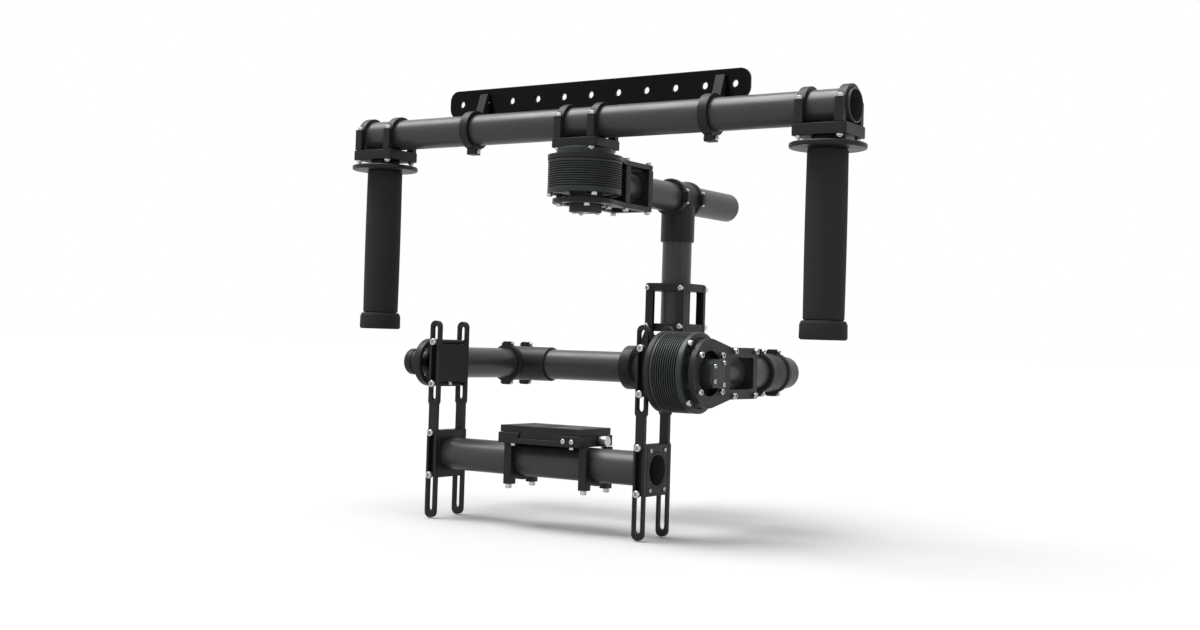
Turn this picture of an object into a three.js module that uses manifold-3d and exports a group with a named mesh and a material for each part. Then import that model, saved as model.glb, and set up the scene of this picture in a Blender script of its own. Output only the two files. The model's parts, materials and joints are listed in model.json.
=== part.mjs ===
// Three-axis handheld camera gimbal: a tubular handlebar with two grips and an accessory rail,
// and a pan, a roll and a tilt motor that carry a slotted camera cage with a quick-release plate.
// Millimetres, +Z up, +X to the operator's right, +Y away from the camera's lens side.
// The origin is the centre of the handlebar.
import * as THREE from 'three';
import { mergeVertices } from 'three/addons/utils/BufferGeometryUtils.js';
import Module from 'manifold-3d';

const wasm = await Module();
wasm.setup();

// Shared stock
const GAP = 0.3; // clearance between touching pieces
const TUBE_RADIUS = 15;
const TUBE_BORE = 13.4;
const CLAMP_BORE = TUBE_RADIUS + GAP;
const OVERLAP = 1; // how far solids that are joined into one piece, or cut from one, run into each other
const ROUND = 24; // sides of the tubes and large rounds
const SMALL_ROUND = 12; // sides of bolt-sized rounds

// Axes of the three joints
const PAN_TUBE_Z = -53.6;
const ROLL_Z = -227.4; // roll and tilt axes share this level
const VERTICAL_TUBE_Y = 174;
const CROSSBAR_Y = 97;
const ARM_X = 143; // the two fore-and-aft arm tubes, left and right
const TILT_Y = -48;

// Handlebar
const HANDLEBAR_LENGTH = 541;
const GRIP_X = 245.7;
const BASE_SIZE = { length: 50, depth: 42.8, top: -15.9, corner: 3 };
const GRIP_BASE_BOTTOM = -25.7;
const PAN_BASE_BOTTOM = -24.3;
const SADDLE = { spacing: 18.5, width: 8, ringRadius: 18.4, halfDepth: 21.4, legTop: 5, crown: 13 };
const GRIP = { neckRadius: 14.5, discRadius: 33, discTop: -31, discBottom: -35.5, coreRadius: 12,
  coreBottom: -188, radius: 17.8, sleeveBottom: -180, capRadius: 20.4, capFlare: 0.6, capHole: 8,
  capBottom: -196.4 };
const RAIL = { centreX: -8, length: 338, bottom: 16.3, top: 43.7, corner: 10, front: 17, thickness: 4,
  holePitch: 30.8, holeCount: 11, holeRadius: 3.2 };
const RAIL_CLAMP_X = [-132, 133];
const RAIL_CLAMP = { width: 9, ringRadius: 19, tabFront: 6, tabRoot: 16.8, tabFoot: 12.3, tabTop: 38,
  tabTip: 3, earDepth: 5, earBottom: -24 };

// Motor unit, in its own frame: motor axis along z, clamped tube along y, rotor on the +z side
const UNIT = { halfHeight: 22.5, plate: 4.5, innerRadius: 35, outerRadius: 29.5, halfWidth: 22.5,
  boxStart: 37, boxEnd: 86, corner: 2, clampThickness: 8, clampCorner: 1, windowStart: 33,
  windowEnd: 78.5, windowHalf: 14, ringOpening: 19.5, shaftOpening: 12, postRadius: 3, postCircle: 24,
  postAngles: [50, 130, 230, 310] };
const MOTOR = { finRadius: 34.6, coreRadius: 31.5, bore: 8.4, bottom: -13.3, finCount: 4, fin: 3.2,
  rim: 3, bezel: 5, boss: 24, bossCorner: 4, bossBottom: -30, boreBottom: -8 };
const ROTOR = { shaftRadius: 8, shaftBottom: -7.5, flangeBottom: 22.9, flangeTop: 29.1, radius: 27,
  tiltRadius: 17 };

// Tube fittings
const TEE = { bodyRadius: 17.6, halfLength: 19, ringRadius: 19, ring: 6, sleeveRadius: 17.2, reach: 45,
  tubeStart: 16, earHeight: 22, earWidth: 11 };

// Pan and roll structure
const PAN_TUBE_REAR = 278;
const ARM_REAR = 139;
const LEFT_ARM_FRONT = -24;
const ROLL_RING = { radius: 21.5, width: 12, neckRadius: 12, neckEnd: 14 };
const BEARING = { plateX: -137, thickness: 8, radius: 22.5, rim: 18, hub: 12.5, spoke: 8,
  bore: 4.9, capX: -162, boreEndX: -159, plugRadius: 13.1, plugLength: 20 };

// Camera cage
const CAGE = { leftX: -115.5, rightX: 111, thickness: 5, spread: 20, top: -188, bottom: -371,
  width: 11, neckWidth: 8.5, neckTaper: 2, slotWidth: 6.4 };
const UPPER_SLOT = { top: -192, bottom: -262 };
const LOWER_SLOT = { top: -292, bottom: -365 };
const NECK = { top: -266, bottom: -289 };
const BLOCK_HALF_DEPTH = CAGE.spread - CAGE.thickness / 2 - GAP;
const BLOCK_CORNER = 1;
const PIVOT_BLOCK = { halfHeight: 17.5, spacerRadius: 2.5, spacerHeight: 19.5, shaftRadius: 4.5 };
const BASE_TUBE_Z = -312;
const LOWER_BLOCK_HALF_HEIGHT = 22;
const CAMERA_BASE = { centreX: 9, length: 86, front: -76, rear: -20, bottom: -296.1, top: -286.5 };
const DOVETAIL = { width: 44, lip: 3 };
const CAMERA_PLATE = { length: 84, front: -74, rear: -22, thickness: 6 };
const CAMERA_SLOT = { width: 7, length: 30, corner: 3.4 };
const PLATE_CLAMP_X = [-28, 53];
const PLATE_CLAMP_LEG = 21.5;
const PLATE_LOCK = { screwRadius: 2.5, headRadius: 5, reach: 14, head: 8, y: -40 };

const FINISH = {
  tube: { color: 0x4a4a4b, roughness: 0.45, metalness: 0.1 },
  anodised: { color: 0x2a2b2c, roughness: 0.5, metalness: 0.5 },
  motor: { color: 0x3a3e3d, roughness: 0.55, metalness: 0.5 },
  rail: { color: 0x0b0b0c, roughness: 0.3, metalness: 0.1 },
  grip: { color: 0x2c2c2c, roughness: 0.9, metalness: 0 },
  steel: { color: 0xb4b6b8, roughness: 0.3, metalness: 0.9 },
};

// ---------- outlines ----------

function arc(centreX, centreY, radius, fromDegrees, toDegrees, steps) {
  return Array.from({ length: steps + 1 }, (_, i) => {
    const angle = THREE.MathUtils.degToRad(fromDegrees + ((toDegrees - fromDegrees) * i) / steps);
    return new THREE.Vector2(centreX + radius * Math.cos(angle), centreY + radius * Math.sin(angle));
  });
}

function circle(radius, centreX = 0, centreY = 0, steps = ROUND) {
  return arc(centreX, centreY, radius, 0, 360, steps).slice(1);
}

function roundedRectangle(width, height, corner, centreX = 0, centreY = 0) {
  const x = width / 2 - corner;
  const y = height / 2 - corner;
  return [
    ...arc(centreX + x, centreY - y, corner, -90, 0, 3),
    ...arc(centreX + x, centreY + y, corner, 0, 90, 3),
    ...arc(centreX - x, centreY + y, corner, 90, 180, 3),
    ...arc(centreX - x, centreY - y, corner, 180, 270, 3),
  ];
}

const point = (x, y) => new THREE.Vector2(x, y);

// ---------- solids ----------

const X = new THREE.Vector3(1, 0, 0);
const Y = new THREE.Vector3(0, 1, 0);
const Z = new THREE.Vector3(0, 0, 1);
// Where an outline's x, its y and its thickness go when the slab faces along each axis
const TURN = {
  x: new THREE.Matrix4().makeBasis(Y, Z, X),
  y: new THREE.Matrix4().makeBasis(X, Z, Y.clone().negate()),
  z: new THREE.Matrix4(),
};

// A flat slab of an outline, centred in its thickness at a point
function slab(outline, thickness, { holes = [], axis = 'z', at = [0, 0, 0] } = {}) {
  const shape = new THREE.Shape(outline);
  shape.holes = holes.map((hole) => new THREE.Path(hole));
  const geometry = new THREE.ExtrudeGeometry(shape, { depth: thickness, bevelEnabled: false });
  geometry.translate(0, 0, -thickness / 2);
  return geometry.applyMatrix4(TURN[axis]).translate(...at);
}

function rod(radius, from, to, { axis = 'z', at = [0, 0], steps = ROUND } = {}) {
  const middle = (from + to) / 2;
  const centre = { x: [middle, ...at], y: [at[0], middle, at[1]], z: [...at, middle] }[axis];
  return slab(circle(radius, 0, 0, steps), Math.abs(to - from), { axis, at: centre });
}

function pipe(outer, inner, from, to, { axis = 'z', at = [0, 0] } = {}) {
  const middle = (from + to) / 2;
  const centre = { x: [middle, ...at], y: [at[0], middle, at[1]], z: [...at, middle] }[axis];
  return slab(circle(outer), Math.abs(to - from), { holes: [circle(inner)], axis, at: centre });
}

function block(low, high) {
  const size = high.map((value, i) => value - low[i]);
  const middle = high.map((value, i) => (value + low[i]) / 2);
  return new THREE.BoxGeometry(...size).translate(...middle);
}

// A solid of revolution about z from a closed profile of [radius, height] points
function turned(profile, steps = ROUND) {
  const points = [...profile, profile[0]].map(([radius, height]) => point(radius, height));
  return new THREE.LatheGeometry(points, steps).rotateX(Math.PI / 2);
}

function toManifold(geometry) {
  const bare = geometry.clone();
  bare.deleteAttribute('normal');
  bare.deleteAttribute('uv');
  const welded = mergeVertices(bare, 1e-4);
  return new wasm.Manifold(new wasm.Mesh({
    numProp: 3,
    vertProperties: new Float32Array(welded.attributes.position.array),
    triVerts: new Uint32Array(welded.index.array),
  }));
}

function toGeometry(manifold) {
  const mesh = manifold.getMesh();
  const geometry = new THREE.BufferGeometry();
  geometry.setAttribute('position', new THREE.BufferAttribute(mesh.vertProperties, 3));
  geometry.setIndex(new THREE.BufferAttribute(mesh.triVerts, 1));
  return geometry;
}

function join(...geometries) {
  return toGeometry(geometries.map(toManifold).reduce((sum, next) => sum.add(next)));
}

function cut(geometry, ...tools) {
  return toGeometry(tools.map(toManifold).reduce((rest, tool) => rest.subtract(tool), toManifold(geometry)));
}

// ---------- scene graph ----------

const gimbal = new THREE.Group();

function add(parent, name, geometry, finish) {
  const mesh = new THREE.Mesh(geometry, new THREE.MeshStandardMaterial(FINISH[finish]));
  mesh.name = name;
  parent.add(mesh);
  return mesh;
}

function groupAt(parent, x, y, z) {
  const group = new THREE.Group();
  group.position.set(x, y, z);
  parent.add(group);
  return group;
}

// ---------- handlebar ----------

// An open strap over a tube that runs along x, its two legs standing on a base plate below
function saddleOutline(legTop) {
  const { ringRadius, halfDepth } = SADDLE;
  const crown = Math.min(legTop, SADDLE.crown);
  const startAngle = THREE.MathUtils.radToDeg(Math.asin(crown / ringRadius));
  const shoulder = Math.sqrt(ringRadius ** 2 - crown ** 2);
  const foot = BASE_SIZE.top + GAP;
  return [
    point(halfDepth, foot),
    point(halfDepth, legTop),
    point(shoulder, legTop),
    ...arc(0, 0, ringRadius, startAngle, 180 - startAngle, 12),
    point(-shoulder, legTop),
    point(-halfDepth, legTop),
    point(-halfDepth, foot),
    point(-CLAMP_BORE, foot),
    ...arc(0, 0, CLAMP_BORE, 180, 0, 16),
    point(CLAMP_BORE, foot),
  ];
}

function withoutRepeats(points) {
  return points.filter((p, i) => i === 0 || p.distanceTo(points[i - 1]) > 1e-3);
}

function addSaddle(parent, name, x, legTop) {
  const outline = withoutRepeats(saddleOutline(legTop));
  return add(parent, name, slab(outline, SADDLE.width, { axis: 'x', at: [x, 0, 0] }), 'anodised');
}

function basePlate(bottom) {
  const outline = roundedRectangle(BASE_SIZE.length, BASE_SIZE.depth, BASE_SIZE.corner);
  const middle = (BASE_SIZE.top + bottom) / 2;
  return slab(outline, BASE_SIZE.top - bottom, { at: [0, 0, middle] });
}

// A bored wedge around the handlebar with a tab behind it that carries the rail
function railClamp() {
  const { width, ringRadius, tabFront, tabRoot, tabFoot, tabTop, tabTip, earDepth, earBottom } = RAIL_CLAMP;
  const tabBack = RAIL.front - GAP;
  const ring = pipe(ringRadius, CLAMP_BORE, -width / 2, width / 2, { axis: 'x' });
  const tabOutline = [
    point(tabFront, tabRoot),
    point(tabBack, tabFoot),
    point(tabBack, tabTop),
    point(tabBack - tabTip, tabTop),
  ];
  const tab = slab(tabOutline, width, { axis: 'x' });
  const ear = block([-width / 2, -earDepth, earBottom], [width / 2, earDepth, -CLAMP_BORE - OVERLAP]);
  return join(ring, tab, ear);
}

function rail() {
  const { centreX, length, bottom, top, corner, front, thickness } = RAIL;
  const middleZ = (bottom + top) / 2;
  const holes = Array.from({ length: RAIL.holeCount }, (_, i) => {
    const offset = (i - (RAIL.holeCount - 1) / 2) * RAIL.holePitch;
    return circle(RAIL.holeRadius, offset, 0, 12);
  });
  const outline = roundedRectangle(length, top - bottom, corner);
  return slab(outline, thickness, { holes, axis: 'y', at: [centreX, front + thickness / 2, middleZ] });
}

function addGrip(side, sign) {
  const place = groupAt(gimbal, sign * GRIP_X, 0, 0);
  add(place, `${side}_grip_base_plate`, basePlate(GRIP_BASE_BOTTOM), 'anodised');
  addSaddle(place, `${side}_grip_outer_clamp`, sign * SADDLE.spacing, SADDLE.legTop);
  addSaddle(place, `${side}_grip_inner_clamp`, -sign * SADDLE.spacing, SADDLE.legTop);
  const collar = join(
    rod(GRIP.neckRadius, GRIP.discTop - OVERLAP, GRIP_BASE_BOTTOM - GAP),
    rod(GRIP.discRadius, GRIP.discBottom, GRIP.discTop),
    rod(GRIP.coreRadius, GRIP.coreBottom, GRIP.discBottom + OVERLAP),
  );
  add(place, `${side}_grip_collar`, collar, 'anodised');
  const sleeveTop = GRIP.discBottom - GAP;
  add(place, `${side}_grip`, pipe(GRIP.radius, GRIP.coreRadius + GAP, GRIP.sleeveBottom, sleeveTop), 'grip');
  const cap = turned([
    [GRIP.coreRadius + GAP, GRIP.sleeveBottom - GAP],
    [GRIP.coreRadius + GAP, GRIP.coreBottom - GAP],
    [GRIP.capHole, GRIP.coreBottom - GAP],
    [GRIP.capHole, GRIP.capBottom],
    [GRIP.capRadius, GRIP.capBottom],
    [GRIP.capRadius - GRIP.capFlare, GRIP.sleeveBottom - GAP],
  ]);
  add(place, `${side}_grip_end_cap`, cap, 'grip');
}

function addHandlebar() {
  const half = HANDLEBAR_LENGTH / 2;
  add(gimbal, 'handlebar_tube', pipe(TUBE_RADIUS, TUBE_BORE, -half, half, { axis: 'x' }), 'tube');
  add(gimbal, 'accessory_rail', rail(), 'rail');
  RAIL_CLAMP_X.forEach((x, i) => {
    add(groupAt(gimbal, x, 0, 0), ['left_rail_clamp', 'right_rail_clamp'][i], railClamp(), 'anodised');
  });
  addGrip('left', -1);
  addGrip('right', 1);
  add(gimbal, 'pan_base_plate', basePlate(PAN_BASE_BOTTOM), 'anodised');
  addSaddle(gimbal, 'pan_left_clamp', -SADDLE.spacing, SADDLE.legTop);
  addSaddle(gimbal, 'pan_right_clamp', SADDLE.spacing, SADDLE.legTop);
}

// ---------- motor unit ----------

function teardropOutline(radius) {
  const { halfWidth, boxStart, boxEnd, corner } = UNIT;
  const reach = Math.hypot(halfWidth, boxStart);
  const tangent = THREE.MathUtils.radToDeg(Math.atan2(boxStart, halfWidth) - Math.acos(radius / reach));
  return [
    ...arc(0, 0, radius, 180 - tangent, 360 + tangent, 26),
    point(halfWidth, boxStart),
    ...arc(halfWidth - corner, boxEnd - corner, corner, 0, 90, 2),
    ...arc(-halfWidth + corner, boxEnd - corner, corner, 90, 180, 2),
    point(-halfWidth, boxStart),
  ];
}

function windowOutline() {
  const length = UNIT.windowEnd - UNIT.windowStart;
  const middle = (UNIT.windowEnd + UNIT.windowStart) / 2;
  return roundedRectangle(2 * UNIT.windowHalf, length, UNIT.corner, 0, middle);
}

function innerPlate() {
  const holes = [circle(UNIT.shaftOpening, 0, 0, 24), windowOutline()];
  const middle = UNIT.halfHeight - UNIT.plate / 2;
  return slab(teardropOutline(UNIT.innerRadius), UNIT.plate, { holes, at: [0, 0, middle] });
}

function outerPlate() {
  const holes = [circle(UNIT.ringOpening, 0, 0, 24), windowOutline()];
  const face = -UNIT.halfHeight + UNIT.plate;
  const middle = face - UNIT.plate / 2;
  const plate = slab(teardropOutline(UNIT.outerRadius), UNIT.plate, { holes, at: [0, 0, middle] });
  const posts = UNIT.postAngles.map((degrees) => {
    const [spot] = arc(0, 0, UNIT.postCircle, degrees, degrees, 1);
    const options = { at: [spot.x, spot.y], steps: SMALL_ROUND };
    return rod(UNIT.postRadius, face - OVERLAP, MOTOR.bottom - GAP, options);
  });
  return join(plate, ...posts);
}

function motorHousing() {
  const top = UNIT.halfHeight - UNIT.plate - GAP;
  const finTop = top - MOTOR.rim;
  const finBottom = MOTOR.bottom + MOTOR.bezel;
  const pitch = (finTop - finBottom) / MOTOR.finCount;
  const fins = [];
  for (let i = 0; i < MOTOR.finCount; i += 1) {
    const grooveTop = finTop - i * pitch;
    const grooveBottom = grooveTop - (pitch - MOTOR.fin);
    fins.push([MOTOR.finRadius, grooveTop], [MOTOR.coreRadius, grooveTop]);
    fins.push([MOTOR.coreRadius, grooveBottom], [MOTOR.finRadius, grooveBottom]);
  }
  const profile = [
    [MOTOR.bore, MOTOR.bottom],
    [MOTOR.finRadius, MOTOR.bottom],
    ...fins.reverse(),
    [MOTOR.finRadius, top],
    [MOTOR.bore, top],
  ];
  const bossDepth = MOTOR.boreBottom - MOTOR.bossBottom;
  const bossMiddle = (MOTOR.boreBottom + MOTOR.bossBottom) / 2;
  const bossOutline = roundedRectangle(MOTOR.boss, MOTOR.boss, MOTOR.bossCorner);
  const boss = slab(bossOutline, bossDepth, { at: [0, 0, bossMiddle] });
  return join(turned(profile), boss);
}

function clampPlate(y) {
  const height = 2 * (UNIT.halfHeight - UNIT.plate - GAP);
  const outline = roundedRectangle(2 * UNIT.halfWidth, height, UNIT.clampCorner);
  return slab(outline, UNIT.clampThickness, { holes: [circle(CLAMP_BORE)], axis: 'y', at: [0, y, 0] });
}

// Stator, its two windowed side plates and the two bored plates that grip the carrying tube
function addMotorUnit(parent, name) {
  add(parent, `${name}_motor_housing`, motorHousing(), 'motor');
  add(parent, `${name}_inner_plate`, innerPlate(), 'anodised');
  add(parent, `${name}_outer_plate`, outerPlate(), 'anodised');
  const near = UNIT.boxStart + UNIT.clampThickness / 2;
  const far = UNIT.boxEnd - UNIT.clampThickness / 2;
  add(parent, `${name}_near_tube_clamp`, clampPlate(near), 'anodised');
  add(parent, `${name}_far_tube_clamp`, clampPlate(far), 'anodised');
}

function rotorShaft() {
  return rod(ROTOR.shaftRadius, ROTOR.shaftBottom, ROTOR.flangeTop - OVERLAP);
}

function rotorFlange(radius) {
  return rod(radius, ROTOR.flangeBottom, ROTOR.flangeTop);
}

// Frames of the three units: pan axis up, roll axis forward, tilt axis to the left
const panUnit = groupAt(gimbal, 0, 0, PAN_TUBE_Z);
const rollUnit = groupAt(gimbal, 0, VERTICAL_TUBE_Y, ROLL_Z);
rollUnit.rotation.x = Math.PI / 2;
const tiltUnit = groupAt(gimbal, ARM_X, TILT_Y, ROLL_Z);
tiltUnit.rotation.y = -Math.PI / 2;

// ---------- tube fittings ----------

// Clamps a tube along y and holds the end of a second tube along +x
function teeFitting() {
  const { bodyRadius, halfLength, ringRadius, ring, sleeveRadius, reach, earHeight, earWidth } = TEE;
  const ringCentre = halfLength - ring / 2;
  const rings = [-ringCentre, ringCentre].map((y) => (
    rod(ringRadius, y - ring / 2, y + ring / 2, { axis: 'y' })
  ));
  const ears = [-ringCentre, ringCentre].map((y) => (
    block([-earWidth / 2, y - ring / 2, -earHeight], [earWidth / 2, y + ring / 2, earHeight])
  ));
  const body = rod(bodyRadius, OVERLAP - halfLength, halfLength - OVERLAP, { axis: 'y' });
  const sleeve = rod(sleeveRadius, 0, reach, { axis: 'x' });
  const through = rod(CLAMP_BORE, -halfLength - OVERLAP, halfLength + OVERLAP, { axis: 'y' });
  const socket = rod(CLAMP_BORE, TUBE_RADIUS, reach + OVERLAP, { axis: 'x' });
  return cut(join(body, ...rings, ...ears, sleeve), through, socket);
}

// ---------- pan arm ----------

// Rotor of the pan motor, which stays with the handlebar
function panRotor() {
  const underBase = PAN_BASE_BOTTOM - GAP - PAN_TUBE_Z;
  return join(rotorShaft(), rod(ROTOR.radius, ROTOR.flangeBottom, underBase));
}

function addPanArm() {
  addMotorUnit(panUnit, 'pan');
  const front = UNIT.boxStart;
  const panTube = pipe(TUBE_RADIUS, TUBE_BORE, front, PAN_TUBE_REAR, { axis: 'y', at: [0, PAN_TUBE_Z] });
  add(gimbal, 'pan_tube', panTube, 'tube');
  const tee = add(groupAt(gimbal, 0, VERTICAL_TUBE_Y, PAN_TUBE_Z), 'pan_tee', teeFitting(), 'anodised');
  tee.rotation.y = Math.PI / 2;
  const top = PAN_TUBE_Z - TEE.tubeStart;
  const bottom = ROLL_Z + UNIT.boxStart;
  const vertical = pipe(TUBE_RADIUS, TUBE_BORE, bottom, top, { at: [0, VERTICAL_TUBE_Y] });
  add(gimbal, 'vertical_tube', vertical, 'tube');
  addMotorUnit(rollUnit, 'roll');
}

// ---------- roll arm ----------

// Rotor of the roll motor with the ring that grips the middle of the crossbar
function rollHub() {
  const reach = VERTICAL_TUBE_Y - CROSSBAR_Y;
  const { radius, width, neckRadius, neckEnd } = ROLL_RING;
  const neck = rod(neckRadius, ROTOR.flangeTop - OVERLAP, reach - neckEnd);
  const ring = rod(radius, -width / 2, width / 2, { axis: 'x', at: [0, reach] });
  const bore = rod(CLAMP_BORE, -width, width, { axis: 'x', at: [0, reach] });
  return cut(join(rotorShaft(), rotorFlange(ROTOR.radius), neck, ring), bore);
}

// Spoked bearing plate and cap on the left arm, held by a plug in the end of the arm tube
function leftBearing() {
  const { plateX, thickness, radius, rim, hub, spoke, bore, capX, boreEndX } = BEARING;
  const { plugRadius, plugLength } = BEARING;
  const pivot = { axis: 'x', at: [TILT_Y, ROLL_Z] };
  const arm = { axis: 'y', at: [-ARM_X, ROLL_Z] };
  const back = plateX - thickness / 2;
  const face = plateX + thickness / 2;
  const reach = rim + OVERLAP;
  const spokes = [[reach, spoke / 2], [spoke / 2, reach]].map(([halfY, halfZ]) => (
    block([back, TILT_Y - halfY, ROLL_Z - halfZ], [face, TILT_Y + halfY, ROLL_Z + halfZ])
  ));
  const rimRing = pipe(radius, rim, back, face, pivot);
  const cap = rod(hub, capX, face, pivot);
  const seat = rod(plugRadius, TILT_Y + reach, LEFT_ARM_FRONT - GAP, arm);
  const plug = rod(plugRadius, LEFT_ARM_FRONT - OVERLAP, LEFT_ARM_FRONT + plugLength, arm);
  const shaftBore = rod(bore, boreEndX, face + OVERLAP, pivot);
  return cut(join(rimRing, ...spokes, cap, seat, plug), shaftBore);
}

function addRollArm() {
  add(rollUnit, 'roll_rotor_hub', rollHub(), 'anodised');
  const half = ARM_X - TEE.tubeStart;
  const crossbar = pipe(TUBE_RADIUS, TUBE_BORE, -half, half, { axis: 'x', at: [CROSSBAR_Y, ROLL_Z] });
  add(gimbal, 'crossbar_tube', crossbar, 'tube');
  add(groupAt(gimbal, -ARM_X, CROSSBAR_Y, ROLL_Z), 'left_tee', teeFitting(), 'anodised');
  const rightTee = add(groupAt(gimbal, ARM_X, CROSSBAR_Y, ROLL_Z), 'right_tee', teeFitting(), 'anodised');
  rightTee.rotation.z = Math.PI;
  const rightFront = TILT_Y + UNIT.boxStart;
  const rightArm = pipe(TUBE_RADIUS, TUBE_BORE, rightFront, ARM_REAR, { axis: 'y', at: [ARM_X, ROLL_Z] });
  add(gimbal, 'right_arm_tube', rightArm, 'tube');
  const leftArm = pipe(TUBE_RADIUS, TUBE_BORE, LEFT_ARM_FRONT, ARM_REAR, { axis: 'y', at: [-ARM_X, ROLL_Z] });
  add(gimbal, 'left_arm_tube', leftArm, 'tube');
  addMotorUnit(tiltUnit, 'tilt');
  add(gimbal, 'left_tilt_bearing', leftBearing(), 'anodised');
}

// ---------- camera cage ----------

// A bar with round ends, two long slots and a narrower solid waist between them, its face to the front
function uprightOutline() {
  const half = CAGE.width / 2;
  const waist = CAGE.neckWidth / 2;
  const { neckTaper } = CAGE;
  return [
    ...arc(0, CAGE.top - half, half, 0, 180, 10),
    point(-half, NECK.top + neckTaper),
    point(-waist, NECK.top),
    point(-waist, NECK.bottom),
    point(-half, NECK.bottom - neckTaper),
    ...arc(0, CAGE.bottom + half, half, 180, 360, 10),
    point(half, NECK.bottom - neckTaper),
    point(waist, NECK.bottom),
    point(waist, NECK.top),
    point(half, NECK.top + neckTaper),
  ];
}

function slotOutline({ top, bottom }) {
  const radius = CAGE.slotWidth / 2;
  return [...arc(0, top - radius, radius, 0, 180, 6), ...arc(0, bottom + radius, radius, 180, 360, 6)];
}

function addUpright(name, x, y) {
  const holes = [slotOutline(UPPER_SLOT), slotOutline(LOWER_SLOT)];
  add(gimbal, name, slab(uprightOutline(), CAGE.thickness, { holes, axis: 'y', at: [x, y, 0] }), 'anodised');
}

// Block between a front and a rear upright, with the two round spacers that their screws run into.
// It and the two solids below are made in the tilt unit's frame, where z grows to the left.
function pivotBlock(uprightX) {
  const { halfHeight, spacerRadius, spacerHeight } = PIVOT_BLOCK;
  const z = ARM_X - uprightX;
  const outline = roundedRectangle(2 * halfHeight, 2 * BLOCK_HALF_DEPTH, BLOCK_CORNER);
  const spacers = [-spacerHeight, spacerHeight].map((height) => (
    rod(spacerRadius, -BLOCK_HALF_DEPTH, BLOCK_HALF_DEPTH, { axis: 'y', at: [height, z], steps: SMALL_ROUND })
  ));
  return join(slab(outline, CAGE.width, { at: [0, 0, z] }), ...spacers);
}

// Block of the left uprights with the plain shaft that turns in the left bearing
function leftPivot() {
  const outerFace = ARM_X - CAGE.leftX + CAGE.width / 2;
  const shaftEnd = ARM_X - BEARING.boreEndX - OVERLAP;
  return join(pivotBlock(CAGE.leftX), rod(PIVOT_BLOCK.shaftRadius, outerFace - OVERLAP, shaftEnd));
}

// Block of the right uprights with the rotor of the tilt motor
function tiltRotor() {
  return join(pivotBlock(CAGE.rightX), rotorShaft(), rotorFlange(ROTOR.tiltRadius));
}

// Block between the lower ends of a front and a rear upright, bored for the bottom tube
function lowerBlock(uprightX) {
  const outline = roundedRectangle(2 * BLOCK_HALF_DEPTH, 2 * LOWER_BLOCK_HALF_HEIGHT, BLOCK_CORNER);
  const at = [uprightX, TILT_Y, BASE_TUBE_Z];
  return slab(outline, CAGE.width, { holes: [circle(CLAMP_BORE)], axis: 'x', at });
}

// Base with two undercut lips that the sliding camera plate runs in
function cameraBase() {
  const { centreX, length, front, rear, bottom, top } = CAMERA_BASE;
  const low = [centreX - length / 2, front, bottom];
  const high = [centreX + length / 2, rear, top];
  const floor = bottom + (top - bottom) / 2;
  const narrow = DOVETAIL.width / 2 - DOVETAIL.lip;
  const groove = slab([
    point(centreX - DOVETAIL.width / 2 - GAP, floor),
    point(centreX + DOVETAIL.width / 2 + GAP, floor),
    point(centreX + narrow + GAP, top + OVERLAP),
    point(centreX - narrow - GAP, top + OVERLAP),
  ], rear - front + 2 * OVERLAP, { axis: 'y', at: [0, (front + rear) / 2, 0] });
  const lockBore = rod(PLATE_LOCK.screwRadius + GAP, centreX + narrow, high[0] + OVERLAP,
    { axis: 'x', at: [PLATE_LOCK.y, (bottom + top) / 2], steps: SMALL_ROUND });
  return cut(block(low, high), groove, lockBore);
}

// Plate that the camera screws to, with the dovetail foot that slides in the base
function cameraPlate() {
  const { centreX, top, bottom } = CAMERA_BASE;
  const { length, front, rear, thickness } = CAMERA_PLATE;
  const floor = bottom + (top - bottom) / 2 + GAP;
  const narrow = DOVETAIL.width / 2 - DOVETAIL.lip;
  const foot = slab([
    point(centreX - DOVETAIL.width / 2, floor),
    point(centreX + DOVETAIL.width / 2, floor),
    point(centreX + narrow, top + OVERLAP),
    point(centreX - narrow, top + OVERLAP),
  ], rear - front, { axis: 'y', at: [0, (front + rear) / 2, 0] });
  const deckBottom = top + GAP;
  const deckTop = deckBottom + thickness;
  const deck = block([centreX - length / 2, front, deckBottom], [centreX + length / 2, rear, deckTop]);
  const slotDepth = 4 * (thickness + GAP);
  const slotOutlineAtCentre = roundedRectangle(CAMERA_SLOT.width, CAMERA_SLOT.length, CAMERA_SLOT.corner);
  const screwSlot = slab(slotOutlineAtCentre, slotDepth, { at: [centreX, (front + rear) / 2, top] });
  return cut(join(foot, deck), screwSlot);
}

function plateLock() {
  const right = CAMERA_BASE.centreX + CAMERA_BASE.length / 2;
  const z = (CAMERA_BASE.bottom + CAMERA_BASE.top) / 2;
  const options = { axis: 'x', at: [PLATE_LOCK.y, z], steps: SMALL_ROUND };
  const screw = rod(PLATE_LOCK.screwRadius, right - PLATE_LOCK.reach, right + OVERLAP, options);
  const head = rod(PLATE_LOCK.headRadius, right + GAP, right + PLATE_LOCK.head, options);
  return join(screw, head);
}

// The same saddle as on the handlebar, upside down and with full-height legs
function addPlateClamp(name, x) {
  const place = groupAt(gimbal, x, TILT_Y, BASE_TUBE_Z);
  place.rotation.x = Math.PI;
  addSaddle(place, name, 0, PLATE_CLAMP_LEG);
}

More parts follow.
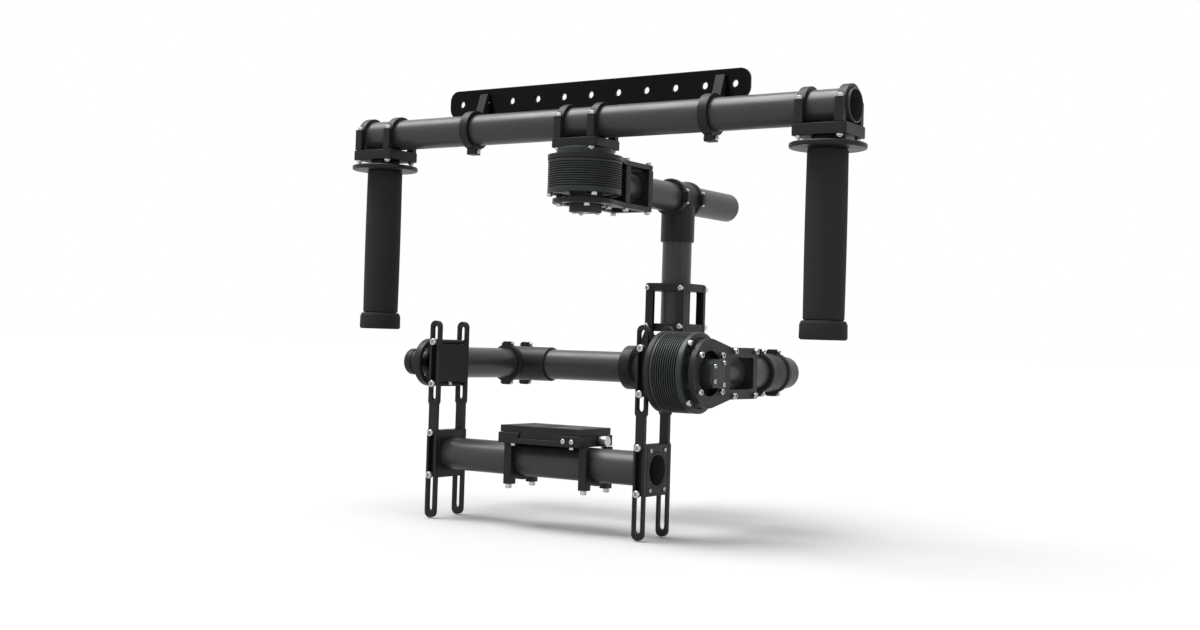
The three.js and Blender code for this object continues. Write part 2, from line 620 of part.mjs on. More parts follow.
function addCage() {
  add(tiltUnit, 'tilt_rotor_block', tiltRotor(), 'anodised');
  add(tiltUnit, 'left_pivot_block', leftPivot(), 'anodised');
  for (const [side, x] of [['left', CAGE.leftX], ['right', CAGE.rightX]]) {
    addUpright(`${side}_front_upright`, x, TILT_Y - CAGE.spread);
    addUpright(`${side}_rear_upright`, x, TILT_Y + CAGE.spread);
    add(gimbal, `${side}_lower_block`, lowerBlock(x), 'anodised');
  }
  const tubeStart = CAGE.leftX - CAGE.width / 2;
  const tubeEnd = CAGE.rightX + CAGE.width / 2;
  const line = { axis: 'x', at: [TILT_Y, BASE_TUBE_Z] };
  add(gimbal, 'cage_bottom_tube', pipe(TUBE_RADIUS, TUBE_BORE, tubeStart, tubeEnd, line), 'tube');
  add(gimbal, 'camera_base', cameraBase(), 'anodised');
  addPlateClamp('left_plate_clamp', PLATE_CLAMP_X[0]);
  addPlateClamp('right_plate_clamp', PLATE_CLAMP_X[1]);
  add(gimbal, 'camera_plate', cameraPlate(), 'anodised');
  add(gimbal, 'plate_lock_screw', plateLock(), 'steel');
}

addHandlebar();
add(panUnit, 'pan_rotor', panRotor(), 'motor');
addPanArm();
addRollArm();
addCage();

export default gimbal;
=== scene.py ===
"""Looks of a three-axis handheld camera gimbal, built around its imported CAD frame.

Local shapes are in millimetres. Every piece is placed in metres, in the frame's own axes.
"""
import json
import math

import bmesh
import bpy
from mathutils import Matrix, Vector
from mathutils.geometry import tessellate_polygon


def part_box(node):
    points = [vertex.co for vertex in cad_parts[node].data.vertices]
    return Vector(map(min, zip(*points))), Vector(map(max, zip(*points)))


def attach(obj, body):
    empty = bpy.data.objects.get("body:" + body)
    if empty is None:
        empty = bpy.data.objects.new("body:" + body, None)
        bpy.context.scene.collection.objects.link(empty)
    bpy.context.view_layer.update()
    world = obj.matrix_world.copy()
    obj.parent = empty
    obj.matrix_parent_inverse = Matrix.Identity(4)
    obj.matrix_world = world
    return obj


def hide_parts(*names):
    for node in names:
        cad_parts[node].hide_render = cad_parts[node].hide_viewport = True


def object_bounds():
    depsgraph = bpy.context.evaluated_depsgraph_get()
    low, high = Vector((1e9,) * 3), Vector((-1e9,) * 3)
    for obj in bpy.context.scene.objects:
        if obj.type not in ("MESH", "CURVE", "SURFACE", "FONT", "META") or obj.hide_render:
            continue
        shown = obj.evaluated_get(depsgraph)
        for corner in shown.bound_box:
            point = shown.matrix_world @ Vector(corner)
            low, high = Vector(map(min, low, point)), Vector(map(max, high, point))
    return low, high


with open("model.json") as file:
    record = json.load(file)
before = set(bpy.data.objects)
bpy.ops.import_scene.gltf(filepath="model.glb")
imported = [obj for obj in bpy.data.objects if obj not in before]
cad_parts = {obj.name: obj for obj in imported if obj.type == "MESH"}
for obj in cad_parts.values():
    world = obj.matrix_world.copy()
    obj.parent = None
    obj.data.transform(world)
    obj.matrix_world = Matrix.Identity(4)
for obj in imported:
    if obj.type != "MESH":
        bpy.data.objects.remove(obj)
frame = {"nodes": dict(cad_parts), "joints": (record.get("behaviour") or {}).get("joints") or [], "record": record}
CAD_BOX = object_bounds()

MM = 0.001
GROUPS = frame["record"]["behaviour"]["bodies"]
BODY_OF = {node: body for body, members in GROUPS.items() for node in members}
UNITS = ("pan", "roll", "tilt")
SIDES = ("left", "right")

# Shared sizes, in millimetres
ROUND = 96  # sides of tubes and large rounds
HEAD_SIDES = 24  # sides of a screw head
TUBE_WALL = 1.6
CLAMP_BORE = 15.3  # radius of the holes that hold a tube
GAP = 0.3
EDGE = 0.45  # usual rounding of a machined edge
SOFT_EDGE = 0.8  # rounding of rings, sleeves and bosses
FINE_EDGE = 0.3  # rounding of thin and small parts
OVERLAP = 1  # how far joined shapes run into each other
CUT_REACH = 2  # how far a cutting shape runs past a surface

# Grips
GRIP_BORE = 12.3
SLEEVE_SWELL = 0.35  # how much slimmer a sleeve is at its ends than in its middle
SLEEVE_STEPS = 12
SLEEVE_FOOT = 1.2
SLEEVE_SHOULDER = 1.4
CAP_HOLE = 8
CAP_HOLE_CHAMFER = 1.5
CAP_FOOT = 1.4
CAP_SHOULDER = [(0.2, 3.2), (0.9, 1.8), (1.4, 0.6), (2.2, 0)]  # in from the side, down from the top
CAP_SOCKET = 8
CORE_RADIUS = 12
DISC_BOTTOM = -35.5
DISC_TOP = -31
DISC_RIM = [(1.2, 0), (0.35, 0.4), (0, 1.3)]  # in from the side, in from either face
NECK_RADIUS = 14.5
NECK_FILLET = 1.2

# Accessory rail
RAIL_HOLES = 11
RAIL_PITCH = 30.8
RAIL_HOLE = 3.2
RAIL_HOLE_SIDES = 40
RAIL_CORNER = 10
RAIL_CORNER_STEPS = 12
RAIL_EDGE = 0.7

# Motor unit, in its own frame: motor axis along z with the rotor at +z, carrying tube along y
UNIT_HALF = 22.5  # from the middle of the unit to the outer face of each plate
CAN_BOTTOM = -13.3
CAN_BORE = 8.4
CAN_TOP_EDGE = 0.6
FIN_COUNT = 11
FIN_DEPTH = 2.6
FIN_EDGE = 0.25
GROOVE_TAPER = 0.15
BEZEL_HEIGHT = 5.2
BEZEL_FOOT = 5.2  # from the can's side to the inner foot of the bezel
BEZEL_LIP = 4.3  # from the can's side to the inner edge of the bezel
RIM = 1.8
FACE_DEPTH = 1.6  # how far the can's outer face sits below its bezel
BOSS_HALF = 12
BOSS_CUT = 5
BOSS_FACE = -30
COVER = {"size": 19, "corner": 2, "thickness": 1.2, "sunk": 0.2}  # sunk: its middle, into the boss
BOX_SCREWS = [(side * 19.5, y) for side in (-1, 1) for y in (42, 81)]
BOSS_SCREWS = [(-9.3, 9.3), (9.3, 9.3), (-6.5, -6.5), (6.5, -6.5)]
RING_CIRCLE = 24
RING_ANGLES = (50, 130, 230, 310)
BEZEL_CIRCLE = 32.2
BEZEL_ANGLES = (220, 320)

# Rotors, in the frame of their motor unit
SHAFT_RADIUS = 8
SHAFT_BOTTOM = -7.5
FLANGE_RADIUS = 27
FLANGE_BOTTOM = 22.9
FLANGE_TOP = 29.1
PAN_FLANGE_FOOT = 0.7
PAN_FLANGE_EDGE = 0.6
HUB_NECK = 12
HUB_FILLET = [(5, 0), (2, 1.5), (0.4, 3.9), (0, 6.9)]  # out from the neck, up from the flange
HUB_RING = {"radius": 21.5, "half_width": 6, "bore_half": 12}
HUB_NECK_END = 14  # short of the crossbar's axis
HUB_FLARE = (0.6, 3)  # out from the neck and down from its end
HUB_CIRCLE = 22
HUB_ANGLES = range(30, 390, 60)

# Tees: two split rings on one tube, with a sleeve for a second tube
TEE_SLEEVES = {"pan_tee": (0, 0, -1), "left_tee": (1, 0, 0), "right_tee": (-1, 0, 0)}
TEE_CLAMP_AXIS = Vector((0, 1, 0))
TEE_BODY = 17.6
TEE_BODY_INSET = 1
TEE_SLEEVE = 17.2
TEE_REACH = 45
TEE_SOCKET_START = 15
TEE_RING = {"radius": 19, "width": 6}
TEE_EAR = {"width": 11, "height": 44, "corner": 2.2, "edge": 0.6, "screw_level": 19.8}

# Left tilt bearing, with its ring and cap along x
BEARING_FACE = -133
BEARING_THICKNESS = 8
BEARING_RADIUS = 22.5
BEARING_RIM = 18
BEARING_EDGE = 0.7
BEARING_HUB = 12.5
SPOKE = {"root": 1.5, "width": 8, "corner": 0.5, "edge": 0.5}  # root: how far a spoke runs into the ring
HUB_DOME = [(2.6, 0), (0.9, 0.7), (0, 2.4)]  # in from the hub's side, in from its end
HUB_GROOVE = [(0, 8), (0.8, 8.6), (0.8, 9.8), (0, 10.4)]
PIVOT_BORE = 4.9
PIVOT_BORE_END = -159
SEAT_RADIUS = 13.1
PLUG_RADIUS = 12.9
PLUG_LENGTH = 20

# Where the screws of the clamps, the uprights and the camera base sit
LEG_SCREW = 3.1  # from a leg's outer face to its screw
LEG_TOP = 5  # above the handlebar's axis
RAIL_SCREW_UP = 8  # from the rail's lower edge
RAIL_SCREW_DOWN = 9  # from the rail's upper edge
RAIL_EAR_SCREW = 3.2  # above the foot of a rail clamp
SLOT_SCREW = 19.5  # above and below the middle of a block
BLOCK_SCREW_IN = 5.5
BLOCK_SCREW_UP = 5
PIVOT_BLOCK_HALF = 17.5
BASE_SCREW_INWARD = 9
BASE_SCREW_IN = 3
BASE_FRONT_SCREWS = (15, 6)  # from the right end of the camera base

# Fastener sizes: radius and height of the head, or of the nut or stud end
M3 = (2.75, 3.0)
M4 = (3.2, 3.4)
SMALL = (2.0, 1.6)
FRONT_SCREW = (2.2, 1.6)
FLAT_SCREW = (2.3, 2.2)
EAR_SCREW = (2.5, 2.2)
BLOCK_SCREW = (1.8, 1.0)
TEE_SCREW = (1.9, 2.0)
TEE_NUT = (2.1, 1.4)
LEG_NUT = (3.0, 2.2)
UNIT_NUT = (3.3, 5.0)
STUD = (2.9, 3.6)
STUD_EDGE = 0.5


# ---------- the frame's places, in millimetres ----------

def span(node):
    low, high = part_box(node)
    return low / MM, high / MM


def middle(node):
    low, high = span(node)
    return (low + high) / 2


def joint_point(name):
    joint = next(joint for joint in frame["joints"] if joint["name"] == name)
    return Vector(joint["pos_m"]) / MM


def main_axis(direction):
    """The world axis, 0, 1 or 2, that a direction runs along most."""
    return max(range(3), key=lambda i: abs(direction[i]))


def basis(x_axis, y_axis, z_axis, origin):
    """A local millimetre frame with the given axes, placed at a millimetre point."""
    rows = [[x_axis[i], y_axis[i], z_axis[i], origin[i]] for i in range(3)]
    return Matrix([*rows, [0, 0, 0, 1]])


def along(axis, origin):
    """A frame whose z runs along world axis 0, 1 or 2, whose x and y are the next two axes in order."""
    units = Matrix.Identity(3)
    return basis(units[(axis + 1) % 3], units[(axis + 2) % 3], units[axis], origin)


def facing_front(origin):
    """A frame with x to the right, y up and z to the front."""
    return basis((1, 0, 0), (0, 0, 1), (0, -1, 0), origin)


def unit_frame(unit):
    """The frame of a motor unit: z from its outer to its inner plate, y from the motor to the tube clamps."""
    z_axis = (middle(f"{unit}_inner_plate") - middle(f"{unit}_outer_plate")).normalized()
    z_axis = Vector([round(value) for value in z_axis])
    clamp = middle(f"{unit}_near_tube_clamp")
    on_axis = joint_point(unit)
    origin = on_axis + z_axis * (clamp - on_axis).dot(z_axis)
    y_axis = (clamp - origin).normalized()
    return basis(y_axis.cross(z_axis), y_axis, z_axis, origin)


def polar(radius, degrees, z):
    angle = math.radians(degrees)
    return Vector((radius * math.cos(angle), radius * math.sin(angle), z))


# ---------- materials ----------

# Inputs of the Mix and Map Range nodes that share their name with another one, by their place
MIX_VALUES = (2, 3)
MIX_COLORS = (6, 7)
FROM_LOW, FROM_HIGH, TO_LOW, TO_HIGH = 1, 2, 3, 4
NOISE_MIDDLE = (0.3, 0.7)  # the middle of a noise, where most of its values are
SHARP_LEAN = (0.97, 0.8)  # cosine of a rounded normal's lean, where wear starts and where it is full


class Finish:
    """A principled material whose pattern is built from nodes."""

    def __init__(self, name, **sockets):
        self.material = bpy.data.materials.new(name)
        self.material.use_nodes = True
        self.tree = self.material.node_tree
        self.shader = self.tree.nodes["Principled BSDF"]
        for socket, value in sockets.items():
            self.shader.inputs[socket.replace("_", " ")].default_value = value

    def node(self, kind, inputs=(), **settings):
        node = self.tree.nodes.new("ShaderNode" + kind)
        for key, value in settings.items():
            setattr(node, key, value)
        for key, value in dict(inputs).items():
            if isinstance(value, bpy.types.NodeSocket):
                self.tree.links.new(value, node.inputs[key])
            else:
                node.inputs[key].default_value = value
        return node

    def math(self, operation, first, second=0.0):
        return self.node("Math", {0: first, 1: second}, operation=operation).outputs[0]

    def place(self):
        return self.node("TexCoord").outputs["Object"]

    def wrap(self):
        """Millimetres around and along a turned piece."""
        split = self.node("SeparateXYZ", {0: self.node("UVMap", uv_map="wrap").outputs[0]})
        return split.outputs[0], split.outputs[1]

    def noise(self, scale, detail=2.0, vector=None):
        inputs = {"Scale": scale, "Detail": detail, "Vector": vector or self.place()}
        return self.node("TexNoise", inputs).outputs["Fac"]

    def spread(self, factor, low, high):
        """The middle of a noise, stretched over a range of values."""
        start, end = NOISE_MIDDLE
        inputs = {"Value": factor, FROM_LOW: start, FROM_HIGH: end, TO_LOW: low, TO_HIGH: high}
        return self.node("MapRange", inputs).outputs[0]

    def blend(self, factor, *colors):
        """From one colour to another, each given by its three values or as a socket."""
        inputs = {"Factor": factor}
        for place, color in zip(MIX_COLORS, colors):
            inputs[place] = color if isinstance(color, bpy.types.NodeSocket) else (*color, 1)
        return self.node("Mix", inputs, data_type="RGBA").outputs[2]

    def bump(self, height, distance):
        return self.node("Bump", {"Height": height, "Distance": distance}).outputs[0]

    def edge_wear(self, radius):
        """Near 1 on sharp edges, from how far a rounded normal leans away from the surface's own."""
        rounded = self.node("Bevel", {"Radius": radius}, samples=4).outputs[0]
        flat = self.node("NewGeometry").outputs["Normal"]
        lean = self.node("VectorMath", {0: rounded, 1: flat}, operation="DOT_PRODUCT").outputs["Value"]
        start, end = SHARP_LEAN
        return self.node("MapRange", {"Value": lean, FROM_LOW: start, FROM_HIGH: end}).outputs[0]

    def set(self, socket, value):
        self.tree.links.new(value, self.shader.inputs[socket])


def woven_tube():
    """Woven twill: each tow passes over two and under two."""
    tow = 1.6
    dark = (0.0245, 0.0245, 0.025)
    pale = (0.0315, 0.0315, 0.032)
    finish = Finish("woven_tube", Specular_IOR_Level=0.3)
    around, length = finish.wrap()
    across = finish.math("DIVIDE", around, tow)
    down = finish.math("DIVIDE", length, tow)
    cells = finish.math("ADD", finish.math("FLOOR", across), finish.math("FLOOR", down))
    over = finish.math("LESS_THAN", finish.math("FLOORED_MODULO", cells, 4.0), 2.0)
    crowns = [finish.math("PINGPONG", value, 0.5) for value in (across, down)]
    crown = finish.node("Mix", {"Factor": over, **dict(zip(MIX_VALUES, crowns))}).outputs[0]
    weave = finish.math("MULTIPLY", over, 0.5)
    grain = finish.math("MULTIPLY", finish.noise(900, 4), 0.5)
    finish.set("Base Color", finish.blend(finish.math("ADD", weave, grain), dark, pale))
    finish.set("Roughness", finish.spread(finish.noise(25), 0.3, 0.4))
    finish.set("Normal", finish.bump(crown, 0.00002))
    return finish.material


def anodised():
    dark = (0.0085, 0.0087, 0.0092)
    pale = (0.0145, 0.0147, 0.0155)
    bare = (0.1, 0.1, 0.102)
    finish = Finish("black_anodised", Metallic=0.2, Specular_IOR_Level=0.2)
    base = finish.blend(finish.noise(38), dark, pale)
    worn = finish.math("MULTIPLY", finish.edge_wear(0.0005), finish.spread(finish.noise(160, 4), 0.0, 0.6))
    finish.set("Base Color", finish.blend(worn, base, bare))
    finish.set("Roughness", finish.spread(finish.noise(60, 3), 0.36, 0.5))
    finish.set("Normal", finish.bump(finish.noise(2600, 3), 0.00004))
    return finish.material


def turned_anodised():
    """The motor cans: grey-green anodising over fine lathe lines."""
    dark = (0.018, 0.021, 0.0212)
    pale = (0.028, 0.0318, 0.0315)
    bare = (0.14, 0.15, 0.15)
    finish = Finish("turned_anodised", Metallic=0.3, Specular_IOR_Level=0.25)
    around, length = finish.wrap()
    stretched = finish.node("CombineXYZ", {0: finish.math("MULTIPLY", around, 0.02), 1: length}).outputs[0]
    lines = finish.noise(4.0, 3, stretched)
    base = finish.blend(finish.noise(45), dark, pale)
    worn = finish.math("MULTIPLY", finish.edge_wear(0.0004), finish.spread(finish.noise(200, 4), 0.0, 0.6))
    finish.set("Base Color", finish.blend(worn, base, bare))
    finish.set("Roughness", finish.spread(lines, 0.34, 0.5))
    finish.set("Normal", finish.bump(lines, 0.00005))
    return finish.material


def rail_coat():
    dark = (0.0008, 0.0008, 0.0009)
    pale = (0.0022, 0.0022, 0.0024)
    finish = Finish("black_coat", Specular_IOR_Level=0.08)
    finish.set("Base Color", finish.blend(finish.noise(30), dark, pale))
    finish.set("Roughness", finish.spread(finish.noise(90, 3), 0.2, 0.32))
    finish.set("Normal", finish.bump(finish.noise(700, 2), 0.00003))
    return finish.material


def grip_rubber():
    dark = (0.0125, 0.0125, 0.0125)
    pale = (0.019, 0.019, 0.019)
    finish = Finish("grip_rubber", Specular_IOR_Level=0.12)
    pebbles = finish.node("TexVoronoi", {"Vector": finish.place(), "Scale": 950.0}).outputs["Distance"]
    dust = finish.noise(70, 4)
    finish.set("Base Color", finish.blend(dust, dark, pale))
    finish.set("Roughness", finish.spread(dust, 0.68, 0.85))
    finish.set("Normal", finish.bump(pebbles, 0.00012))
    return finish.material


def screw_steel():
    dark = (0.42, 0.42, 0.42)
    pale = (0.58, 0.58, 0.59)
    finish = Finish("screw_steel", Metallic=1.0)
    scuffs = finish.noise(1500, 4)
    finish.set("Base Color", finish.blend(finish.noise(240), dark, pale))
    finish.set("Roughness", finish.spread(scuffs, 0.22, 0.4))
    finish.set("Normal", finish.bump(scuffs, 0.00002))
    return finish.material


FINISHES = {
    "tube": woven_tube(),
    "anodised": anodised(),
    "motor": turned_anodised(),
    "rail": rail_coat(),
    "grip": grip_rubber(),
    "steel": screw_steel(),
}


# ---------- shapes ----------

def arc(centre_x, centre_y, radius, start, end, steps):
    angles = [math.radians(start + (end - start) * i / steps) for i in range(steps + 1)]
    return [(centre_x + radius * math.cos(a), centre_y + radius * math.sin(a)) for a in angles]


def circle(radius, centre_x=0.0, centre_y=0.0, steps=ROUND):
    return arc(centre_x, centre_y, radius, 0, 360, steps)[1:]


def rounded_rectangle(width, height, corner, steps=6):
    x = width / 2 - corner
    y = height / 2 - corner
    quarters = [(x, -y, -90), (x, y, 0), (-x, y, 90), (-x, -y, 180)]
    return [
        point
        for centre_x, centre_y, start in quarters
        for point in arc(centre_x, centre_y, corner, start, start + 90, steps)
    ]


def wound(loop, counter_clockwise):
    area = sum(a[0] * b[1] - b[0] * a[1] for a, b in zip(loop, [*loop[1:], loop[0]]))
    return loop if (area > 0) == counter_clockwise else loop[::-1]


def inset(loop, distance):
    """The loop moved to its own left: into the material, for an outline or a hole wound the other way."""
    sharpest = 0.4  # keeps a sharp corner from running away
    shifted = []
    for i, here in enumerate(loop):
        before = Vector(loop[i - 1])
        after = Vector(loop[(i + 1) % len(loop)])
        first = (Vector(here) - before).normalized()
        second = (after - Vector(here)).normalized()
        normal = Vector((-first.y - second.y, first.x + second.x)).normalized()
        lean = max(normal.dot(Vector((-first.y, first.x))), sharpest)
        shifted.append(Vector(here) + normal * distance / lean)
    return shifted


def bridge(bm, lower, upper):
    """Quads between two closed rings of the same count."""
    for i in range(len(lower)):
        j = (i + 1) % len(lower)
        bm.faces.new((lower[i], lower[j], upper[j], upper[i]))


def plate(outline, thickness, holes=(), edge=EDGE, steps=3):
    """A flat slab in the xy plane, centred in z, with every edge rounded."""
    bm = bmesh.new()
    loops = [wound(list(outline), True), *[wound(list(hole), False) for hole in holes]]
    quarter = [math.radians(90 * i / steps) for i in range(steps + 1)]
    levels = [(edge * (1 - math.cos(a)), thickness / 2 - edge + edge * math.sin(a)) for a in quarter]
    levels = [(depth, -height) for depth, height in reversed(levels)] + levels
    caps = {0: [], len(levels) - 1: []}
    for loop in loops:
        rings = []
        for depth, height in levels:
            rings.append([bm.verts.new((x, y, height)) for x, y in inset(loop, depth)])
        for lower, upper in zip(rings, rings[1:]):
            bridge(bm, lower, upper)
        for level, rim in caps.items():
            rim.append(rings[level])
    for rims in caps.values():
        flat = [vert for rim in rims for vert in rim]
        for triangle in tessellate_polygon([[vert.co for vert in rim] for rim in rims]):
            bm.faces.new([flat[i] for i in triangle])
    bmesh.ops.recalc_face_normals(bm, faces=bm.faces)
    return bm


def turned(profile, steps=ROUND):
    """A closed solid of revolution about z, from a closed profile of radius and height."""
    bm = bmesh.new()
    wrap = bm.loops.layers.uv.new("wrap")
    widest = max(radius for radius, _ in profile)
    closed = profile[0][0] > 0
    stops = [*profile, profile[0]] if closed else profile
    travel = [0.0]
    for (r0, z0), (r1, z1) in zip(stops, stops[1:]):
        travel.append(travel[-1] + math.hypot(r1 - r0, z1 - z0))
    turns = [2 * math.pi * i / steps for i in range(steps)]
    rings = []
    for radius, height in profile:
        if radius > 0:
            rings.append([bm.verts.new((radius * math.cos(a), radius * math.sin(a), height)) for a in turns])
        else:
            rings.append([bm.verts.new((0, 0, height))] * steps)
    if closed:
        rings.append(rings[0])
    for k in range(len(rings) - 1):
        for i in range(steps):
            j = (i + 1) % steps
            corners = [(rings[k][i], i, k), (rings[k][j], i + 1, k),
                       (rings[k + 1][j], i + 1, k + 1), (rings[k + 1][i], i, k + 1)]
            face = bm.faces.new(dict.fromkeys(vert for vert, _, _ in corners))
            for loop in face.loops:
                step, level = next((s, lv) for vert, s, lv in corners if vert == loop.vert)
                loop[wrap].uv = (2 * math.pi * widest * step / steps, travel[level])
    bmesh.ops.recalc_face_normals(bm, faces=bm.faces)
    return bm


def rod_profile(radius, low, high, edge=EDGE):
    return [(0, low), (radius - edge, low), (radius, low + edge), (radius, high - edge),
            (radius - edge, high), (0, high)]


def pipe_profile(outer, inner, low, high, edge=EDGE):
    return [(inner, low + edge), (inner + edge, low), (outer - edge, low), (outer, low + edge),
            (outer, high - edge), (outer - edge, high), (inner + edge, high), (inner, high - edge)]


def moved(bm, matrix):
    bm.transform(matrix)
    return bm


def raised(bm, height):
    return moved(bm, Matrix.Translation((0, 0, height)))


def rod(axis, radius, low, high, edge=EDGE, origin=(0, 0, 0)):
    """A round bar along axis 0, 1 or 2 through a point."""
    return moved(turned(rod_profile(radius, low, high, edge)), along(axis, origin))


def merged(*parts):
    """Several solids in one mesh."""
    whole = bmesh.new()
    whole.loops.layers.uv.new("wrap")
    for part in parts:
        mesh = bpy.data.meshes.new("part")
        part.to_mesh(mesh)
        part.free()
        whole.from_mesh(mesh)
        bpy.data.meshes.remove(mesh)
    return whole


def held(bm):
    """A solid as an object of the scene, for the boolean modifier."""
    mesh = bpy.data.meshes.new("part")
    bm.to_mesh(mesh)
    bm.free()
    obj = bpy.data.objects.new("part", mesh)
    bpy.context.scene.collection.objects.link(obj)
    return obj


def boolean(base, tools, operation):
    """The base with every tool joined to it or cut from it."""
    target = held(base)
    helpers = [held(tool) for tool in tools]
    for helper in helpers:
        modifier = target.modifiers.new("boolean", "BOOLEAN")
        modifier.operation = operation
        modifier.solver = "EXACT"
        modifier.object = helper
    result = bmesh.new()
    result.from_object(target, bpy.context.evaluated_depsgraph_get())
    for obj in (target, *helpers):
        bpy.data.meshes.remove(obj.data)
    return result


def joined(base, *tools):
    return boolean(base, tools, "UNION")


def cut(base, *tools):
    return boolean(base, tools, "DIFFERENCE")


# ---------- pieces ----------

SHARP_EDGE = math.radians(48)
BEVELLED_EDGE = math.radians(40)
FLAT_ENOUGH = math.radians(1)
WELD_DISTANCE = 0.01
REBUILT = set()  # the CAD nodes that a piece replaces


def shade(obj, material):
    mesh = obj.data
    mesh.materials.clear()
    mesh.materials.append(material)
    mesh.polygons.foreach_set("use_smooth", [True] * len(mesh.polygons))
    mesh.set_sharp_from_angle(angle=SHARP_EDGE)
    normals = obj.modifiers.new("weighted_normals", "WEIGHTED_NORMAL")
    normals.keep_sharp = True


def piece(name, bm, body, slot, matrix=Matrix.Identity(4), replaces=()):
    """A finished mesh from a millimetre solid, riding on a body and taking its slot's material."""
    bm.transform(Matrix.Scale(MM, 4) @ matrix)
    mesh = bpy.data.meshes.new(name)
    bm.to_mesh(mesh)
    bm.free()
    obj = bpy.data.objects.new(name, mesh)
    bpy.context.scene.collection.objects.link(obj)
    shade(obj, FINISHES[slot])
    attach(obj, body)
    if replaces:
        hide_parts(*replaces)


def replacement(node, bm, slot, matrix=Matrix.Identity(4)):
    """A finer shape in place of one CAD node."""
    REBUILT.add(node)
    piece(f"{node}_detail", bm, BODY_OF[node], slot, matrix, (node,))


def dress_node(node, slot):
    """A CAD node that keeps its shape gets rounded edges and its material."""
    obj = frame["nodes"][node]
    weld = obj.modifiers.new("weld", "WELD")
    weld.merge_threshold = WELD_DISTANCE * MM
    flat = obj.modifiers.new("flat_faces", "DECIMATE")
    flat.decimate_type = "DISSOLVE"
    flat.angle_limit = FLAT_ENOUGH
    rounding = obj.modifiers.new("rounded_edges", "BEVEL")
    rounding.width = EDGE * MM
    rounding.segments = 2
    rounding.limit_method = "ANGLE"
    rounding.angle_limit = BEVELLED_EDGE
    shade(obj, FINISHES[slot])


# ---------- screws ----------

def hexagon_radius(angle, apothem):
    sector = (angle + math.pi / 6) % (math.pi / 3) - math.pi / 6
    return apothem / math.cos(sector)


def socket_head(radius, height):
    """A cap screw's head standing on z = 0, with chamfered ends and a hexagon socket."""
    bm = bmesh.new()
    chamfer = 0.16 * radius
    socket = 0.5 * radius
    socket_bottom = 0.4 * height
    turns = [2 * math.pi * i / HEAD_SIDES for i in range(HEAD_SIDES)]
    levels = [
        (lambda a: radius - chamfer / 2, 0),
        (lambda a: radius, chamfer / 2),
        (lambda a: radius, height - chamfer),
        (lambda a: radius - chamfer, height),
        (lambda a: hexagon_radius(a, socket), height),
        (lambda a: hexagon_radius(a, socket), socket_bottom),
    ]
    rings = []
    for reach, z in levels:
        rings.append([bm.verts.new((reach(a) * math.cos(a), reach(a) * math.sin(a), z)) for a in turns])
    for lower, upper in zip(rings, rings[1:]):
        bridge(bm, lower, upper)
    bm.faces.new(rings[0])
    bm.faces.new(rings[-1])
    bmesh.ops.recalc_face_normals(bm, faces=bm.faces)
    return bm


def hex_nut(radius, height):
    """A nut standing on z = 0, with the end of its screw standing out of it."""
    tip_radius = 0.52 * radius
    nut = raised(plate(circle(radius, steps=6), height, edge=FINE_EDGE), height / 2)
    tip = turned(rod_profile(tip_radius, 0.5 * height, 1.5 * height, FINE_EDGE), HEAD_SIDES)
    return merged(nut, tip)


def stud_end(radius, length):
    """The rounded end of a stud that comes out of a foot at z = 0."""
    return turned(rod_profile(radius, -OVERLAP, length, STUD_EDGE), HEAD_SIDES)


def facing(direction, at):
    """A frame at a point with z along a direction."""
    z_axis = Vector(direction).normalized()
    return Matrix.Translation(at) @ z_axis.to_track_quat("Z", "Y").to_matrix().to_4x4()


def fasteners(name, body, shapes):
    """One piece from many (maker, size, direction, point) fasteners of a body."""
    parts = [moved(maker(*size), facing(direction, at)) for maker, size, direction, at in shapes]
    piece(name, merged(*parts), body, "steel")


# ---------- tubes and grips ----------

def build_tubes():
    for node in BODY_OF:
        if node.endswith("_tube"):
            low, high = span(node)
            axis = main_axis(high - low)
            radius = (high - low)[(axis + 1) % 3] / 2
            start = middle(node)
            start[axis] = 0
            profile = pipe_profile(radius, radius - TUBE_WALL, low[axis], high[axis])
            replacement(node, turned(profile), "tube", along(axis, start))


def build_sleeve(side, place):
    """A rubber sleeve that swells slightly between its ends."""
    low, high = span(f"{side}_grip")
    radius = (high - low).x / 2
    belly_height = high.z - low.z - 2 * SLEEVE_FOOT
    belly = []
    for i in range(SLEEVE_STEPS + 1):
        share = i / SLEEVE_STEPS
        inward = SLEEVE_SWELL * (1 - math.sin(math.pi * share))
        belly.append((radius - inward, low.z + SLEEVE_FOOT + belly_height * share))
    profile = [(GRIP_BORE, low.z), (radius - SLEEVE_FOOT, low.z), *belly,
               (radius - SLEEVE_SHOULDER, high.z), (GRIP_BORE, high.z)]
    replacement(f"{side}_grip", turned(profile), "grip", place)


def build_end_cap(side, place):
    """A cap with a hole in its end and a socket for the sleeve's core."""
    node = f"{side}_grip_end_cap"
    low, high = span(node)
    radius = (high - low).x / 2
    profile = [
        (CAP_HOLE, low.z + CAP_HOLE_CHAMFER), (CAP_HOLE + CAP_HOLE_CHAMFER, low.z),
        (radius - CAP_FOOT, low.z), (radius, low.z + CAP_FOOT),
        *[(radius - inward, high.z - down) for inward, down in CAP_SHOULDER],
        (GRIP_BORE, high.z), (GRIP_BORE, high.z - CAP_SOCKET), (CAP_HOLE, high.z - CAP_SOCKET),
    ]
    replacement(node, turned(profile), "grip", place)


def build_collar(side, place):
    """The core of a grip, its guard disc and its neck."""
    node = f"{side}_grip_collar"
    low, high = span(node)
    radius = (high - low).x / 2
    profile = [
        (0, low.z), (CORE_RADIUS, low.z), (CORE_RADIUS, DISC_BOTTOM),
        *[(radius - inward, DISC_BOTTOM + level) for inward, level in DISC_RIM],
        *[(radius - inward, DISC_TOP - level) for inward, level in reversed(DISC_RIM)],
        (NECK_RADIUS + NECK_FILLET, DISC_TOP), (NECK_RADIUS, DISC_TOP + NECK_FILLET),
        (NECK_RADIUS, high.z), (0, high.z),
    ]
    replacement(node, turned(profile), "anodised", place)


